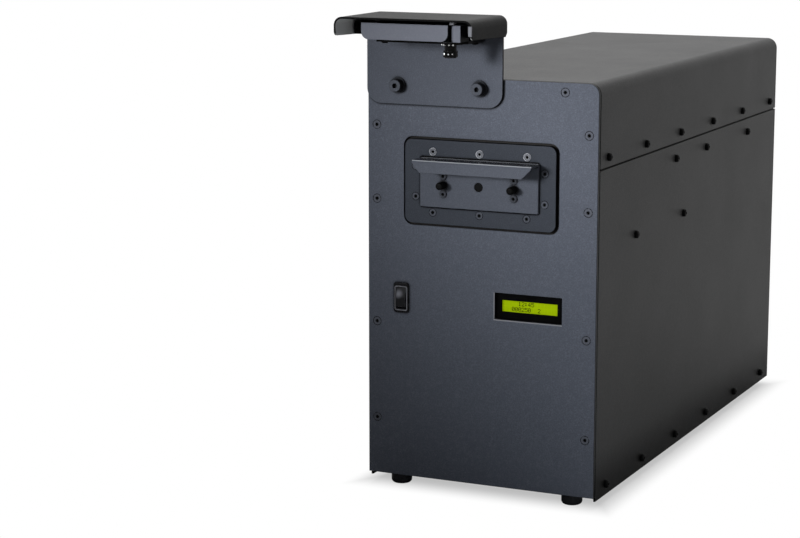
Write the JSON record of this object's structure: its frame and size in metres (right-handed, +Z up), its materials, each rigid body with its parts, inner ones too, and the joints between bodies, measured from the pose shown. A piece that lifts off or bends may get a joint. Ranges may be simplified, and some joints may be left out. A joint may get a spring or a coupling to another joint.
{
  "type": "hard drive degausser",
  "caption": "Tall bench tower that erases hard drives with a pulsed coil, with a front drawer, a small display, a rocker switch and an overhead camera hood.",
  "frame": {"origin": "on the floor under the middle of the whole object's box", "axes": "+X to the right of someone facing the front panel, +Y to the back, +Z up"},
  "size_m": [0.2616, 0.7258, 0.5016],
  "materials": {
    "panel_paint": "fine textured charcoal powder coat",
    "casing_paint": "fine textured black powder coat",
    "hood_paint": "fine textured dark powder coat",
    "drawer_paint": "fine textured charcoal powder coat",
    "label_paint": "satin grey",
    "zinc_sheet": "zinc plated sheet",
    "black_steel": "black oxide",
    "peg_black": "satin",
    "foot_rubber": "matte",
    "tray_aluminium": "satin",
    "slide_nylon": "matte",
    "former_plastic": "matte",
    "winding_copper": "enamelled",
    "bar_copper": "bare",
    "core_steel": "varnished",
    "bright_steel": "satin",
    "can_aluminium": "satin",
    "module_black": "moulded",
    "board_green": "solder mask",
    "bezel_black": "black",
    "display_green": "lit display",
    "switch_black": "gloss",
    "fan_black": "moulded",
    "guard_wire": "bright wire",
    "socket_black": "moulded",
    "camera_black": "satin black"
  },
  "bodies": {
    "tower": {"front_panel": "panel_paint", "hood_bracket": "panel_paint", "left_side_panel": "casing_paint", "right_side_panel": "casing_paint", "top_cover": "casing_paint", "rear_panel": "casing_paint", "hood_cover": "hood_paint", "aperture_plate": "drawer_paint", "label_plate": "label_paint", "camera_module": "label_paint", "front_frame": "zinc_sheet", "base_plate": "zinc_sheet", "left_side_rail": "zinc_sheet", "right_side_rail": "zinc_sheet", "coil_shelf": "zinc_sheet", "capacitor_plate": "zinc_sheet", "cover_screws": "black_steel", "side_panel_screws": "black_steel", "front_panel_screws": "black_steel", "aperture_screws": "black_steel", "hood_bolts": "black_steel", "hood_screws": "black_steel", "fan_screws": "black_steel", "rubber_feet": "foot_rubber", "drawer_rails": "slide_nylon", "coil_bobbin": "former_plastic", "degauss_coil": "winding_copper", "transformer_winding": "winding_copper", "coil_straps": "bar_copper", "bus_bars": "bar_copper", "transformer_core": "core_steel", "lock_solenoid": "core_steel", "standoffs": "bright_steel", "capacitor_posts": "bright_steel", "inlet_pins": "bright_steel", "capacitor_bank": "can_aluminium", "heat_sink": "can_aluminium", "discharge_switch": "module_black", "board_parts": "module_black", "control_board": "board_green", "display_board": "board_green", "display_bezel": "bezel_black", "display_glass": "display_green", "switch_housing": "switch_black", "fan_frame": "fan_black", "fan_guard": "guard_wire", "power_inlet": "socket_black", "data_jack": "socket_black", "camera_housing": "camera_black", "camera_lens": "camera_black", "lens_ring": "camera_black"},
    "drawer": {"drawer_front": "drawer_paint", "drawer_tray": "tray_aluminium", "drawer_pegs": "peg_black", "drawer_screws": "black_steel"},
    "rocker": {"switch_rocker": "switch_black"},
    "rotor": {"fan_rotor": "fan_black"},
    "plunger": {"lock_plunger": "bright_steel"}
  },
  "joints": [
    {"name": "drawer_slide", "type": "slide", "parent": "tower", "child": "drawer", "axis": [0, -1, 0], "range_m": [0, 0.165]},
    {"name": "power_rocker", "type": "hinge", "parent": "tower", "child": "rocker", "pos_m": [-0.0886, -0.2734, 0.2048], "axis": [1, 0, 0], "range_deg": [0, 20]},
    {"name": "fan_spin", "type": "hinge", "parent": "tower", "child": "rotor", "pos_m": [0, 0.3441, 0.337], "axis": [0, 1, 0], "continuous": true},
    {"name": "lock_slide", "type": "slide", "parent": "tower", "child": "plunger", "axis": [0, 0, 1], "range_m": [0, 0.0085]}
  ]
}
